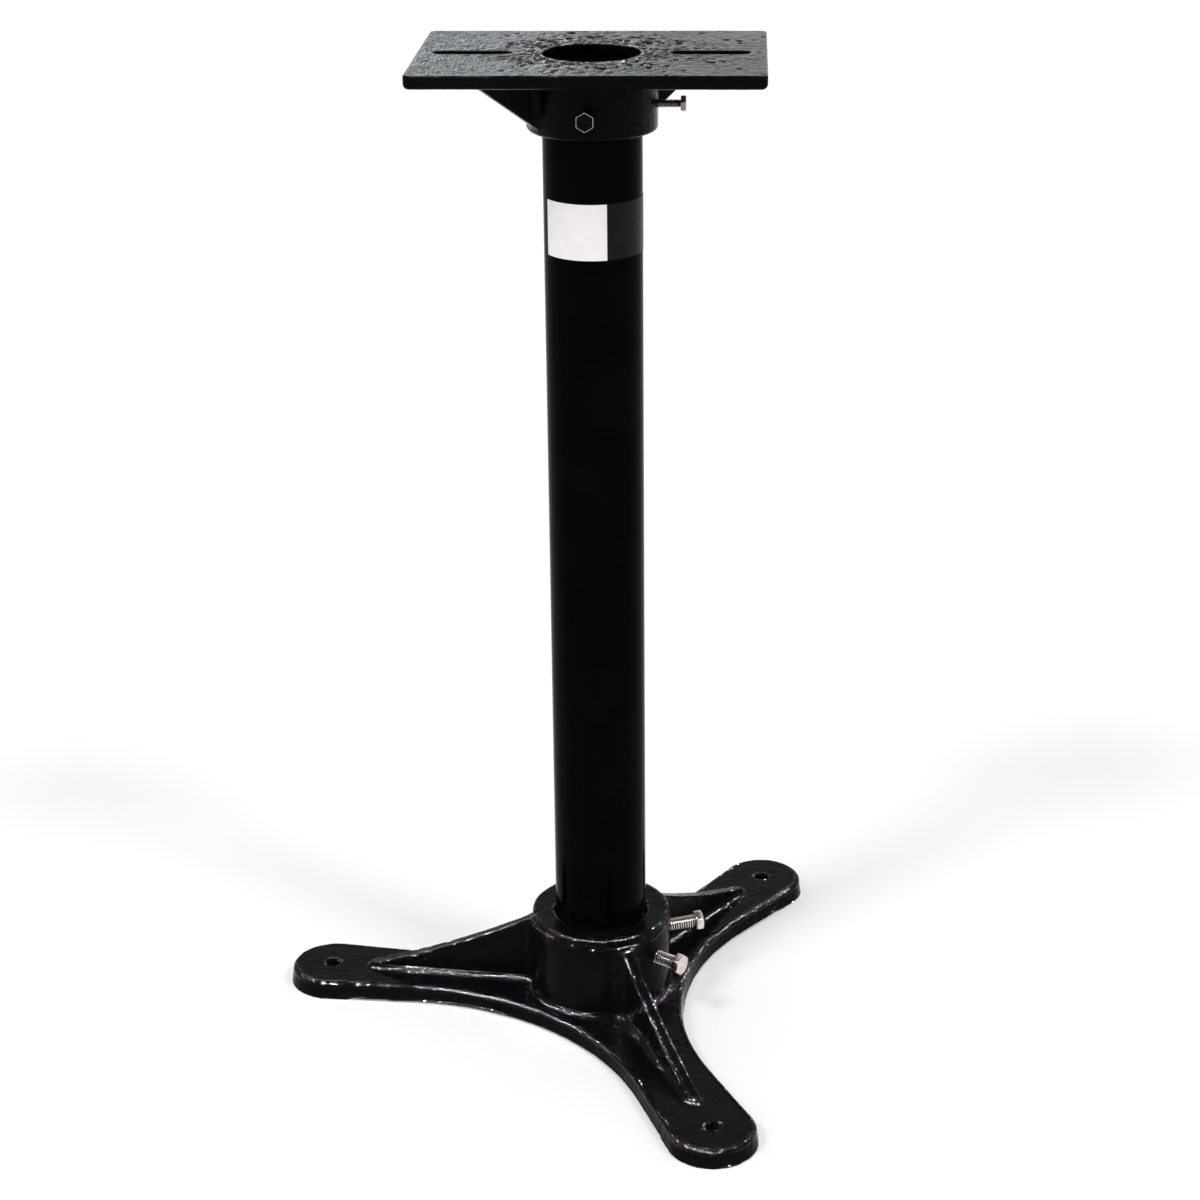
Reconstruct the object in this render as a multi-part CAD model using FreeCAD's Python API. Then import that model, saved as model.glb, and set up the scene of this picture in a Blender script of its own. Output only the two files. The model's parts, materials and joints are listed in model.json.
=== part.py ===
import FreeCAD, Part

import math
import os
from collections import namedtuple

# Bench grinder stand: a three-legged cast base, a steel column held in its hub by two set bolts,
# and a cast table held on the column's top by two more.
# Millimetres, +Z up. The origin is on the floor at the column's axis, X runs along the table's
# long side and the table's front faces -Y.

# ---- Overall ----
table_height = 812.0        # floor to the table's top face
foot_circle_radius = 237.4  # column axis to each floor bolt hole

# ---- Column tube ----
tube_diameter = 76.2
tube_wall = 3.0
tube_end_chamfer = 0.5

# ---- Base casting: legs ----
leg_count = 3
first_leg_angle = -65.6     # degrees from +X, the leg nearest the front
foot_end_radius = 34.5      # rounded end of a leg, about its bolt hole
foot_hole_diameter = 12.0
leg_toe_in = 2.5            # degrees that each side of a leg closes towards the hub
leg_thickness = 15.6
leg_draft = 2.1             # how far the leg's side leans out from its top edge to the floor
leg_edge_round = 3.5
bay_ledge = 12.7            # plate left outside the hub in the bay between two legs
pad_radius = 41.0           # raised pad under each leg's end
pad_proud = 1.5             # the rest of the underside is this far above the floor
pocket_rim = 8.0            # wall around the hollow under each leg
leg_web = 9.0               # plate left over that hollow

# ---- Base casting: hub and fins ----
hub_wall = 19.2
hub_height = 87.8
hub_rim_round = 2.0
hub_bore_clearance = 0.8    # radial, around the tube
seat_height = 8.0           # floor to the ledge that the tube stands on
seat_width = 5.0            # how far that ledge reaches in from the tube's outside
fin_thickness = 10.0
fin_root_drop = 6.5         # hub's rim down to the start of a fin's top line, inside the hub's face
fin_sag = 5.0               # how far the fin's top dips below a straight line
fin_end_inset = 29.4        # floor bolt hole back to the foot of the fin's rounded end
fin_end_step = 2.7          # height of the fin's top line over the leg at that point
fin_hub_round = 9.0         # round in plan between a fin and the hub
fin_foot_round = 5.0        # fillet along the foot of the hub and fins
fin_edge_round = 1.2

# ---- Top casting ----
table_width = 262.0         # along X
table_depth = 182.3         # along Y
table_thickness = 10.5
table_corner_round = 4.5
table_top_edge_round = 0.8
table_under_edge_round = 3.0
centre_hole_shoulder = 1.5  # how far the hole's edge reaches in over the tube's end
centre_hole_edge = 0.8
slot_inner_end = 59.5       # column axis to the near end of a slot
slot_length = 59.1
slot_width = 14.0
collar_wall = 10.7
collar_depth = 46.5         # below the table's underside
collar_bore_clearance = 0.4
collar_edge_round = 3.0
rib_count = 2
first_rib_angle = 213.0     # degrees from +X
rib_thickness = 10.0
rib_reach = 102.5           # column axis to the rib's end at the table's underside
rib_end_step = 1.6          # depth of the rib's end below the table
rib_low_end = 1.5           # collar's lower edge up to the start of the rib's line, inside the collar's face
rib_collar_round = 6.0
rib_foot_round = 4.0        # fillet between the table and the collar and ribs
rib_edge_round = 1.2

# ---- Set bolts: hex heads, two of 7/16 inch below and one each of 5/16 and 1/4 inch above ----
# A bolt's bevel is the drop of its head's corners at the outer face, and exposed is how much of
# its shank stands out of the casting.
BoltSize = namedtuple("BoltSize", "diameter length across_flats head_height bevel exposed")
base_bolts = {
    "base_bolt_front": BoltSize(11.11, 32.0, 15.9, 6.5, 1.0, 19.3),
    "base_bolt_rear": BoltSize(11.11, 32.0, 15.9, 6.5, 1.0, 26.5),
}
top_bolts = {
    "top_bolt_front": BoltSize(7.94, 25.4, 12.7, 5.3, 0.8, 15.6),
    "top_bolt_side": BoltSize(6.35, 25.4, 11.1, 4.1, 0.7, 17.4),
}
bolt_fit = 0.05             # radial clearance in the tapped hole
bolt_washer_face = 0.5
bolt_tip_chamfer = 1.0
base_bolt_height = 59.0
base_bolt_spread = 27.0     # degrees each side of the middle of the bay
top_bolt_drop = 27.5        # below the table's underside
top_bolt_angles = {"top_bolt_front": 268.7, "top_bolt_side": 0.0}

# ---- Label ----
label_height = 43.0
label_gap_to_collar = 49.5
label_start = -151.0        # degrees from +X
label_sweep = 160.0
label_thickness = 0.2
label_glue = 0.05

# ---- Worked out ----
OVERCUT = 1.0               # how far a cutting tool runs past the face it opens
UP = FreeCAD.Vector(0, 0, 1)
ORIGIN = FreeCAD.Vector(0, 0, 0)
tube_radius = tube_diameter / 2
leg_step = 360.0 / leg_count
leg_angles = [first_leg_angle + i * leg_step for i in range(leg_count)]
rib_step = 360.0 / rib_count
rib_angles = [first_rib_angle + i * rib_step for i in range(rib_count)]
hub_bore_radius = tube_radius + hub_bore_clearance
hub_radius = hub_bore_radius + hub_wall
collar_bore_radius = tube_radius + collar_bore_clearance
collar_radius = collar_bore_radius + collar_wall
centre_hole_radius = tube_radius - centre_hole_shoulder
table_underside = table_height - table_thickness
collar_bottom = table_underside - collar_depth
bay_middle = leg_angles[0] + leg_step / 2
base_bolt_angles = {
    "base_bolt_front": bay_middle - base_bolt_spread,
    "base_bolt_rear": bay_middle + base_bolt_spread,
}
top_bolt_height = table_underside - top_bolt_drop


def polar(radius, degrees, z=0.0):
    angle = math.radians(degrees)
    return FreeCAD.Vector(radius * math.cos(angle), radius * math.sin(angle), z)


def turned(shape, degrees):
    copy = shape.copy()
    copy.rotate(ORIGIN, UP, degrees)
    return copy


def flipped(point):
    return FreeCAD.Vector(point.x, -point.y, point.z)


def arc(first, middle, last):
    return Part.Arc(first, middle, last).toShape()


def line(first, last):
    return Part.LineSegment(first, last).toShape()


def cylinder(radius, bottom, top, centre=ORIGIN):
    return Part.makeCylinder(radius, top - bottom, FreeCAD.Vector(centre.x, centre.y, bottom))


def tapped_hole(size, degrees, z, reach):
    """The drill for a bolt, along the radius at the given direction and height, from the axis out."""
    return Part.makeCylinder(size.diameter / 2 + bolt_fit, reach, UP * z, polar(1, degrees))


def edge_middle(edge):
    return edge.valueAt((edge.FirstParameter + edge.LastParameter) / 2)


def axis_distance(point):
    return math.hypot(point.x, point.y)


def is_upright(edge):
    return edge.BoundBox.XLength < 1e-3 and edge.BoundBox.YLength < 1e-3


def edges_on(shape, other, tolerance=1e-4):
    """The edges of shape whose middle lies on the surface of other."""
    return [e for e in shape.Edges if other.distToShape(Part.Vertex(edge_middle(e)))[0] < tolerance]


def level_edges(edges, z, tolerance=1e-3):
    return [e for e in edges if abs(e.BoundBox.ZMin - z) < tolerance and abs(e.BoundBox.ZMax - z) < tolerance]


def level_circles(shape, radius, z):
    """The edges at height z that are arcs of the given radius about the column's axis."""
    level = level_edges(shape.Edges, z)
    return [e for e in level if abs(axis_distance(edge_middle(e)) - radius) < 1e-3]


# ---- Shapes that the two castings share ----
def finned_outline(radius, half, nose, corner, step, z):
    """Plan of one spoke and the round post's arc up to the next, from the spoke along +X.

    half is half the spoke's thickness, nose the middle of its rounded end, and corner the round
    between the spoke and the post.
    """
    corner_reach = radius + corner
    corner_middle = FreeCAD.Vector(math.sqrt(corner_reach**2 - (half + corner) ** 2), half + corner, z)
    spoke_side = FreeCAD.Vector(corner_middle.x, half, z)
    to_axis = FreeCAD.Vector(-corner_middle.x, -corner_middle.y, 0)
    post_side = corner_middle + to_axis * (corner / corner_reach)
    inward = (to_axis * (1 / corner_reach) + FreeCAD.Vector(0, -1, 0)).normalize()
    corner_point = corner_middle + inward * corner
    nose_side = FreeCAD.Vector(nose, half, z)
    next_post_side = FreeCAD.Rotation(UP, step).multVec(flipped(post_side))
    return [
        arc(flipped(post_side), flipped(corner_point), flipped(spoke_side)),
        line(flipped(spoke_side), flipped(nose_side)),
        arc(flipped(nose_side), FreeCAD.Vector(nose + half, 0, z), nose_side),
        line(nose_side, spoke_side),
        arc(spoke_side, corner_point, post_side),
        arc(post_side, polar(radius, step / 2, z), next_post_side),
    ]


def finned_post(radius, half, nose, corner, angles, bottom, top):
    """A round post with spokes at the given directions, all upright walls."""
    step = 360.0 / len(angles)
    spoke = finned_outline(radius, half, nose, corner, step, bottom)
    edges = [turned(edge, angle) for angle in angles for edge in spoke]
    wire = Part.Wire(Part.__sortEdges__(edges))
    return Part.Face(wire).extrude(UP * (top - bottom))


def beyond_fin(radius, root, start_z, end_reach, end_z, sag, far_z, width):
    """The space beyond a fin's free edge, for the spoke along +X.

    The edge runs from root inside the post's face at start_z out to end_reach at end_z, dipping by
    sag in the middle. The space goes on from there to far_z, above a fin's top or below a rib's edge.
    """
    start = FreeCAD.Vector(radius - root, -width / 2, start_z)
    end = FreeCAD.Vector(end_reach, -width / 2, end_z)
    middle = (start + end) * 0.5 - UP * sag
    outer = end + FreeCAD.Vector(width, 0, 0)
    outer_far = FreeCAD.Vector(outer.x, outer.y, far_z)
    inner_far = FreeCAD.Vector(start.x, start.y, far_z)
    free_edge = arc(start, middle, end) if sag else line(start, end)
    profile = [free_edge, line(end, outer), line(outer, outer_far), line(outer_far, inner_far)]
    profile.append(line(inner_far, start))
    return Part.Face(Part.Wire(profile)).extrude(FreeCAD.Vector(0, width, 0))


def cut_fins(body, spaces, post_radius, bottom, top, edge_round):
    """Cuts the fins' free edges to their line, rounds the arrises, and makes the post whole again."""
    for space in spaces:
        body = body.cut(space)
        rims = [e for e in edges_on(body, space) if axis_distance(edge_middle(e)) > post_radius - 1e-3]
        body = body.makeFillet(edge_round, [e for e in rims if not is_upright(e)])
    return body.fuse(cylinder(post_radius, bottom, top)).removeSplitter()


# ---- Base casting ----
def leg_outline(offset, z):
    """Outline of the legs moved outwards by offset: round ends, straight sides, hollow bays."""
    toe = math.radians(leg_toe_in)
    foot = FreeCAD.Vector(foot_circle_radius, 0, z)
    side_normal = FreeCAD.Vector(-math.sin(toe), math.cos(toe), 0)
    bay_direction = polar(1, leg_step / 2)
    lean = bay_direction.dot(side_normal)
    side_distance = foot.dot(side_normal) + foot_end_radius
    bay_radius = ((hub_radius + bay_ledge) * lean - side_distance) / (1 - lean)
    bay_centre = bay_direction * ((bay_radius + side_distance) / lean) + UP * z
    end_radius = foot_end_radius + offset
    side_start = foot + side_normal * end_radius
    side_end = bay_centre - side_normal * (bay_radius - offset)
    bay_bottom = bay_centre - bay_direction * (bay_radius - offset)
    next_leg = FreeCAD.Rotation(UP, leg_step)
    next_side_end = next_leg.multVec(flipped(side_end))
    leg = [
        arc(flipped(side_start), foot + FreeCAD.Vector(end_radius, 0, 0), side_start),
        line(side_start, side_end),
        arc(side_end, bay_bottom, next_side_end),
        line(next_side_end, next_leg.multVec(flipped(side_start))),
    ]
    edges = [turned(edge, angle) for angle in leg_angles for edge in leg]
    return Part.Wire(Part.__sortEdges__(edges))


def leg_underside():
    """What is taken off below: all but the end pads is raised, and each leg is hollowed."""
    reach = foot_circle_radius + foot_end_radius + leg_draft + OVERCUT
    relief = cylinder(reach, -OVERCUT, pad_proud)
    pocket_top = leg_thickness - leg_web
    pocket = Part.Face(leg_outline(-pocket_rim, -OVERCUT)).extrude(UP * (pocket_top + OVERCUT))
    pocket = pocket.cut(cylinder(hub_radius + bay_ledge - pocket_rim + OVERCUT, -2 * OVERCUT, leg_thickness))
    taken = relief.fuse(pocket)
    for angle in leg_angles:
        taken = taken.cut(cylinder(pad_radius, -2 * OVERCUT, leg_thickness, polar(foot_circle_radius, angle)))
    return taken


def base_casting():
    plate = Part.makeLoft([leg_outline(leg_draft, 0), leg_outline(0, leg_thickness)], True, True)
    plate = plate.makeFillet(leg_edge_round, level_edges(plate.Edges, leg_thickness))
    half = fin_thickness / 2
    fin_end = foot_circle_radius - fin_end_inset
    nose = fin_end - fin_foot_round - half
    core_bottom = leg_thickness / 2
    core = finned_post(hub_radius, half, nose, fin_hub_round, leg_angles, core_bottom, hub_height)
    body = plate.fuse(core)
    body = body.makeFillet(fin_foot_round, level_edges(edges_on(body, core), leg_thickness))
    space = beyond_fin(
        hub_radius,
        fin_hub_round,
        hub_height - fin_root_drop,
        fin_end,
        leg_thickness + fin_end_step,
        fin_sag,
        hub_height + OVERCUT,
        2 * (fin_thickness + fin_hub_round + fin_foot_round),
    )
    spaces = [turned(space, angle) for angle in leg_angles]
    body = cut_fins(body, spaces, hub_radius, core_bottom, hub_height, fin_edge_round)
    body = body.makeFillet(hub_rim_round, level_circles(body, hub_radius, hub_height))
    body = body.cut(leg_underside())
    body = body.cut(cylinder(hub_bore_radius, seat_height, hub_height + OVERCUT))
    body = body.cut(cylinder(tube_radius - seat_width, -OVERCUT, seat_height + OVERCUT))
    for angle in leg_angles:
        foot = polar(foot_circle_radius, angle)
        body = body.cut(cylinder(foot_hole_diameter / 2, -OVERCUT, leg_thickness + OVERCUT, foot))
    for name, size in base_bolts.items():
        body = body.cut(tapped_hole(size, base_bolt_angles[name], base_bolt_height, hub_radius + OVERCUT))
    return body


# ---- Column tube ----
def column_tube():
    tube = cylinder(tube_radius, seat_height, table_underside)
    tube = tube.cut(cylinder(tube_radius - tube_wall, seat_height - OVERCUT, table_underside + OVERCUT))
    ends = level_edges(tube.Edges, seat_height) + level_edges(tube.Edges, table_underside)
    return tube.makeChamfer(tube_end_chamfer, ends)


# ---- Top casting ----
def table_plate():
    corner = FreeCAD.Vector(-table_width / 2, -table_depth / 2, table_underside)
    plate = Part.makeBox(table_width, table_depth, table_thickness, corner)
    upright = [e for e in plate.Edges if e.BoundBox.ZLength > table_thickness / 2]
    plate = plate.makeFillet(table_corner_round, upright)
    plate = plate.makeFillet(table_under_edge_round, level_edges(plate.Edges, table_underside))
    return plate.makeFillet(table_top_edge_round, level_edges(plate.Edges, table_height))


def slot_cutter():
    """One slot through the table, its near end towards the column, along +X."""
    half = slot_width / 2
    near = slot_inner_end + half
    far = slot_inner_end + slot_length - half
    bottom = table_underside - OVERCUT
    outline = [
        line(FreeCAD.Vector(near, -half, bottom), FreeCAD.Vector(far, -half, bottom)),
        arc(
            FreeCAD.Vector(far, -half, bottom),
            FreeCAD.Vector(far + half, 0, bottom),
            FreeCAD.Vector(far, half, bottom),
        ),
        line(FreeCAD.Vector(far, half, bottom), FreeCAD.Vector(near, half, bottom)),
        arc(
            FreeCAD.Vector(near, half, bottom),
            FreeCAD.Vector(near - half, 0, bottom),
            FreeCAD.Vector(near, -half, bottom),
        ),
    ]
    return Part.Face(Part.Wire(outline)).extrude(UP * (table_thickness + 2 * OVERCUT))


def top_casting():
    half = rib_thickness / 2
    nose = rib_reach - rib_foot_round - half
    core_top = table_underside + table_thickness / 2
    core = finned_post(collar_radius, half, nose, rib_collar_round, rib_angles, collar_bottom, core_top)
    body = table_plate().fuse(core)
    body = body.makeFillet(rib_foot_round, level_edges(edges_on(body, core), table_underside))
    space = beyond_fin(
        collar_radius,
        rib_collar_round,
        collar_bottom + rib_low_end,
        rib_reach,
        table_underside - rib_end_step,
        0,
        collar_bottom - OVERCUT,
        2 * (rib_thickness + rib_collar_round + rib_foot_round),
    )
    spaces = [turned(space, angle) for angle in rib_angles]
    body = cut_fins(body, spaces, collar_radius, collar_bottom, core_top, rib_edge_round)
    body = body.makeFillet(collar_edge_round, level_circles(body, collar_radius, collar_bottom))
    body = body.cut(cylinder(collar_bore_radius, collar_bottom - OVERCUT, table_underside))
    body = body.cut(cylinder(centre_hole_radius, collar_bottom, table_height + OVERCUT))
    body = body.makeFillet(centre_hole_edge, level_circles(body, centre_hole_radius, table_height))
    for side in (0, 180):
        body = body.cut(turned(slot_cutter(), side))
    for name, size in top_bolts.items():
        body = body.cut(tapped_hole(size, top_bolt_angles[name], top_bolt_height, collar_radius + OVERCUT))
    return body


# ---- Set bolts ----
def hex_bolt(size):
    """A fully threaded bolt lying along +X: its shank ends at the origin, where the head begins."""
    along = FreeCAD.Vector(1, 0, 0)
    shank = Part.makeCylinder(size.diameter / 2, size.length, along * -size.length, along)
    tip = [e for e in shank.Edges if abs(edge_middle(e).x + size.length) < 1e-3]
    shank = shank.makeChamfer(bolt_tip_chamfer, tip)
    washer = Part.makeCylinder(size.across_flats / 2, bolt_washer_face, ORIGIN, along)
    corner_radius = size.across_flats / math.sqrt(3)
    corners = []
    for i in range(7):
        point = polar(corner_radius, 90 + 60 * i)
        corners.append(FreeCAD.Vector(bolt_washer_face, point.x, point.y))
    head = Part.Face(Part.makePolygon(corners)).extrude(along * (size.head_height - bolt_washer_face))
    bevel_run = size.bevel / math.tan(math.radians(30))
    envelope = Part.makePolygon(
        [
            FreeCAD.Vector(0, 0, 0),
            FreeCAD.Vector(0, corner_radius, 0),
            FreeCAD.Vector(size.head_height - size.bevel, corner_radius, 0),
            FreeCAD.Vector(size.head_height, corner_radius - bevel_run, 0),
            FreeCAD.Vector(size.head_height, 0, 0),
            FreeCAD.Vector(0, 0, 0),
        ]
    )
    head = head.common(Part.Face(envelope).revolve(ORIGIN, along, 360))
    return shank.fuse(washer).fuse(head).removeSplitter()


def set_bolt(size, wall_radius, degrees, z):
    """A bolt along the radius at the given direction, standing out of a wall of the given radius."""
    bolt = hex_bolt(size)
    bolt.translate(FreeCAD.Vector(wall_radius + size.exposed, 0, z))
    return turned(bolt, degrees)


# ---- Label ----
def column_label():
    inner = tube_radius + label_glue
    top = collar_bottom - label_gap_to_collar
    base = UP * (top - label_height)
    outside = Part.makeCylinder(inner + label_thickness, label_height, base, UP, label_sweep)
    return turned(outside.cut(cylinder(inner, base.z - OVERCUT, top + OVERCUT)), label_start)


def save(name, shape):
    assert shape.isValid() and len(shape.Solids) == 1, name
    shape.exportStep(f"parts/{name}.step")
    print(f"{name}: {shape.Volume / 1000:.1f} cm3")


os.makedirs("parts", exist_ok=True)
save("base_casting", base_casting())
save("column_tube", column_tube())
save("top_casting", top_casting())
for name, size in base_bolts.items():
    save(name, set_bolt(size, hub_radius, base_bolt_angles[name], base_bolt_height))
for name, size in top_bolts.items():
    save(name, set_bolt(size, collar_radius, top_bolt_angles[name], top_bolt_height))
save("column_label", column_label())
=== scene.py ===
import json
import math
from collections import namedtuple

import bpy
import numpy as np
from mathutils import Matrix, Vector, noise


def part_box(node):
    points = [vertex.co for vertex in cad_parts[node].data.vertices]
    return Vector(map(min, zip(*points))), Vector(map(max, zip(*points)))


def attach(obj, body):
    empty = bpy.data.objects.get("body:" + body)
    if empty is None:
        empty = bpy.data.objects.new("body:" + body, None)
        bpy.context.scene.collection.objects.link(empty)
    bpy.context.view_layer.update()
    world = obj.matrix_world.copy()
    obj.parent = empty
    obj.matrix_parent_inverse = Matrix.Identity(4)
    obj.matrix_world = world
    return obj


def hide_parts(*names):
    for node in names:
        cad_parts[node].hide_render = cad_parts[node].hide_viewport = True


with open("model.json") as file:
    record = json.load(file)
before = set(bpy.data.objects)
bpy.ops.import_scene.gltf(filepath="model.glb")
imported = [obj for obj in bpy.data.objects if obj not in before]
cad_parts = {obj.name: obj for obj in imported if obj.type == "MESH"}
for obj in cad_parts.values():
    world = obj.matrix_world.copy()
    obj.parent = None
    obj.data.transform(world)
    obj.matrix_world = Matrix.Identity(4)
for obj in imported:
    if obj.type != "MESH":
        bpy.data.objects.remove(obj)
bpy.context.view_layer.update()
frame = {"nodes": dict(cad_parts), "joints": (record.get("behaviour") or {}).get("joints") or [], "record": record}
scene = bpy.context.scene

# Bench grinder stand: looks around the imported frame. Sizes are in millimetres, as in the CAD, and
# every mesh is turned into metres as it is made. The two castings are modelled as distance fields,
# whose zero level is meshed and then roughened, so that fillets run into each other as in a casting.
MM = 0.001

# ---- Sizes that the frame gives ----
tube_low, tube_high = (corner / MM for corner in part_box("column_tube"))
table_low, table_high = (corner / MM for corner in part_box("top_casting"))
label_low, label_high = (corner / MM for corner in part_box("column_label"))
base_low, base_high = (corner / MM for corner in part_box("base_casting"))
mounts = {mount["name"]: mount for mount in frame["record"]["mounts"]}
bolt_axes = {
    joint["child"].removesuffix("_screw"): Vector(joint["axis"]).normalized()
    for joint in frame["joints"]
    if joint["child"].endswith("_screw")
}
table_height = table_high.z
table_width = table_high.x - table_low.x
table_depth = table_high.y - table_low.y
tube_radius = (tube_high.x - tube_low.x) / 2
hub_height = base_high.z
foot_circle_radius = mounts["floor_bolts"]["dims"]["pcd_mm"] / 2
foot_hole_radius = mounts["floor_bolts"]["dims"]["hole_r_mm"]
slot_radius = mounts["table_slots"]["dims"]["hole_r_mm"]
slot_middle = mounts["table_slots"]["dims"]["spacing_x_mm"] / 2
slot_half_length = mounts["table_slots"]["dims"]["slot_length_mm"] / 2
floor_pad = Vector(mounts["floor_pads"]["pos_m"])

# ---- Base casting ----
leg_spacing = 120.0             # degrees
first_leg_angle = math.degrees(math.atan2(floor_pad.y, floor_pad.x))
foot_end_radius = 34.5
leg_toe_in = math.radians(2.5)
leg_thickness = 15.6
leg_draft = 2.1
leg_edge_round = 3.0
floor_edge_round = 1.0
bay_radius_at_hub = 70.8        # column axis to the bay's edge, midway between two legs
pad_radius = 41.0
pad_proud = 1.5
pocket_rim = 8.0
pocket_start = bay_radius_at_hub - pocket_rim + 1.0     # column axis to the pockets under the legs
leg_web = 9.0
hub_radius = 58.1
hub_rim_round = 1.4
hub_bore_radius = 38.9
seat_height = 8.0
seat_radius = 33.1
fin_half = 5.0
fin_root = (49.1, 81.3)         # distance from the axis and height where a fin's top line starts
fin_tip = (208.0, 18.3)
fin_sag = 5.0
fin_nose = 199.0                # middle of the fin's rounded end
fin_hub_round = 9.0
fin_foot_round = 2.8
fin_edge_round = 1.1
fin_top_round = 2.5             # where a fin's top line runs into the hub
hole_lip = 0.5
foot_hole_lip = 1.0
base_mesh_step = 1.6

# ---- Top casting ----
table_thickness = 10.5
table_corner_round = 4.5
table_top_round = 0.9
table_under_round = 4.2
centre_hole_radius = 36.6
centre_hole_round = 1.6
collar_radius = 49.2
collar_depth = 46.5
collar_bore_radius = 38.5
collar_edge_round = 3.0
rib_angle = math.radians(33.0)
rib_half = 5.0
rib_root = (43.8, 1.5)          # distance from the axis, and height above the collar's lower edge
rib_tip = (102.5, -1.6)         # distance from the axis, and height above the table's underside
rib_nose = 93.5
rib_collar_round = 6.0
rib_foot_round = 4.0
rib_edge_round = 1.4
rib_top_round = 2.0
table_mesh_step = 1.185         # a finer one makes more triangles than the export keeps

# ---- Set bolts: two of 7/16 inch below, one of 5/16 and one of 1/4 inch above ----
# wall is the outer radius of what the bolt is screwed through, and turn is how far its head is
# turned, in degrees, from two of its corners lying straight up and down.
Bolt = namedtuple("Bolt", "wall radius pitch thread_depth across_flats head_height turn")
bolt_sizes = {
    "base_bolt_front": Bolt(hub_radius, 5.555, 2.1, 1.25, 15.9, 6.5, -12),
    "base_bolt_rear": Bolt(hub_radius, 5.555, 2.1, 1.25, 15.9, 6.5, 0),
    "top_bolt_front": Bolt(collar_radius, 3.97, 1.41, 0.8, 12.7, 5.3, 0),
    "top_bolt_side": Bolt(collar_radius, 3.175, 1.75, 0.8, 11.1, 4.1, 12),
}
base_bolts = ("base_bolt_front", "base_bolt_rear")
top_bolts = ("top_bolt_front", "top_bolt_side")
tapped_fit = 0.15               # radial, so that the thread stays clear of the hole's coarse mesh
tapped_overrun = 5.0            # how far past the wall a tapped hole is cut
bolt_washer_face = 0.5
bolt_tip_chamfer = 1.0
bolt_neck_start = 1.2           # below the head, where the thread starts to run out
bolt_neck_run = 0.8

# ---- Column and label ----
tube_wall = 3.0
tube_end_chamfer = 0.5
label_glue = 0.05
label_thickness = 0.2
label_start = math.radians(-151.0)
label_split = math.radians(-71.1)   # where the pale panel ends and the dark one begins
label_end = math.radians(9.0)
label_corner_round = 0.8


# ---- Set bolts: where they are ----
def bolt_height(name):
    """Height of the bolt's axis above the floor."""
    low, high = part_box(name)
    return (low.z + high.z) / 2 / MM


def bolt_reach(name):
    """The head's outer face and the tip, as distances from the column's axis."""
    axis = bolt_axes[name]
    along = [vertex.co.dot(axis) / MM for vertex in frame["nodes"][name].data.vertices]
    return max(along), min(along)


# ---- Distance fields ----
def join(a, b, radius):
    """Union of two fields with a fillet of that radius between them."""
    near = np.hypot(np.maximum(radius - a, 0), np.maximum(radius - b, 0))
    return np.maximum(radius, np.minimum(a, b)) - near


def meet(a, b, radius):
    """Intersection of two fields with its edge rounded to that radius."""
    near = np.hypot(np.maximum(radius + a, 0), np.maximum(radius + b, 0))
    return np.minimum(-radius, np.maximum(a, b)) + near


def capsule(x, y, nose, half):
    """Plan of a bar along +X from the origin, with a round end about nose."""
    return np.hypot(np.maximum(x - nose, 0), y) - half


def tapped_hole(x, y, z, name):
    """A set bolt's hole, along its level axis from the column's axis out past the wall."""
    size = bolt_sizes[name]
    axis = bolt_axes[name]
    along = x * axis.x + y * axis.y
    across = x * axis.y - y * axis.x
    off_axis = np.hypot(across, z - bolt_height(name))
    off_ends = np.maximum(-along, along - (size.wall + tapped_overrun))
    return np.maximum(off_axis - (size.radius + tapped_fit), off_ends)


def leg_sector(x, y):
    """The point turned and mirrored to the half of a leg that lies at or above +X."""
    step = math.radians(leg_spacing)
    angle = np.arctan2(y, x) - math.radians(first_leg_angle)
    angle = np.abs(angle - step * np.round(angle / step))
    distance = np.hypot(x, y)
    return distance * np.cos(angle), distance * np.sin(angle)


def leg_plan(x, y):
    """Distance from the legs' outline: a round end, a straight side, and the hollow bay."""
    normal = np.array([-math.sin(leg_toe_in), math.cos(leg_toe_in)])
    along = np.array([math.cos(leg_toe_in), math.sin(leg_toe_in)])
    bay_angle = math.radians(leg_spacing / 2)
    bay = np.array([math.cos(bay_angle), math.sin(bay_angle)])
    side = foot_circle_radius * normal[0] + foot_end_radius
    lean = bay @ normal
    bay_radius = (bay_radius_at_hub * lean - side) / (1 - lean)
    bay_x, bay_y = bay * (bay_radius + side) / lean
    travel = x * along[0] + y * along[1]
    straight = x * normal[0] + y * normal[1] - side
    hollow = bay_radius - np.hypot(x - bay_x, y - bay_y)
    end = np.hypot(x - foot_circle_radius, y) - foot_end_radius
    plan = np.where(travel < bay_x * along[0] + bay_y * along[1], hollow, straight)
    return np.where(travel > foot_circle_radius * along[0], end, plan)


def arc_side(x, z, first, last, sag):
    """Distance above the line from first to last that dips by sag in its middle."""
    chord = math.dist(first, last)
    radius = (chord**2 / 4 + sag**2) / (2 * sag)
    up = np.array([first[1] - last[1], last[0] - first[0]]) / chord
    centre_x, centre_z = (np.array(first) + np.array(last)) / 2 + up * (radius - sag)
    return radius - np.hypot(x - centre_x, z - centre_z)


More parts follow.
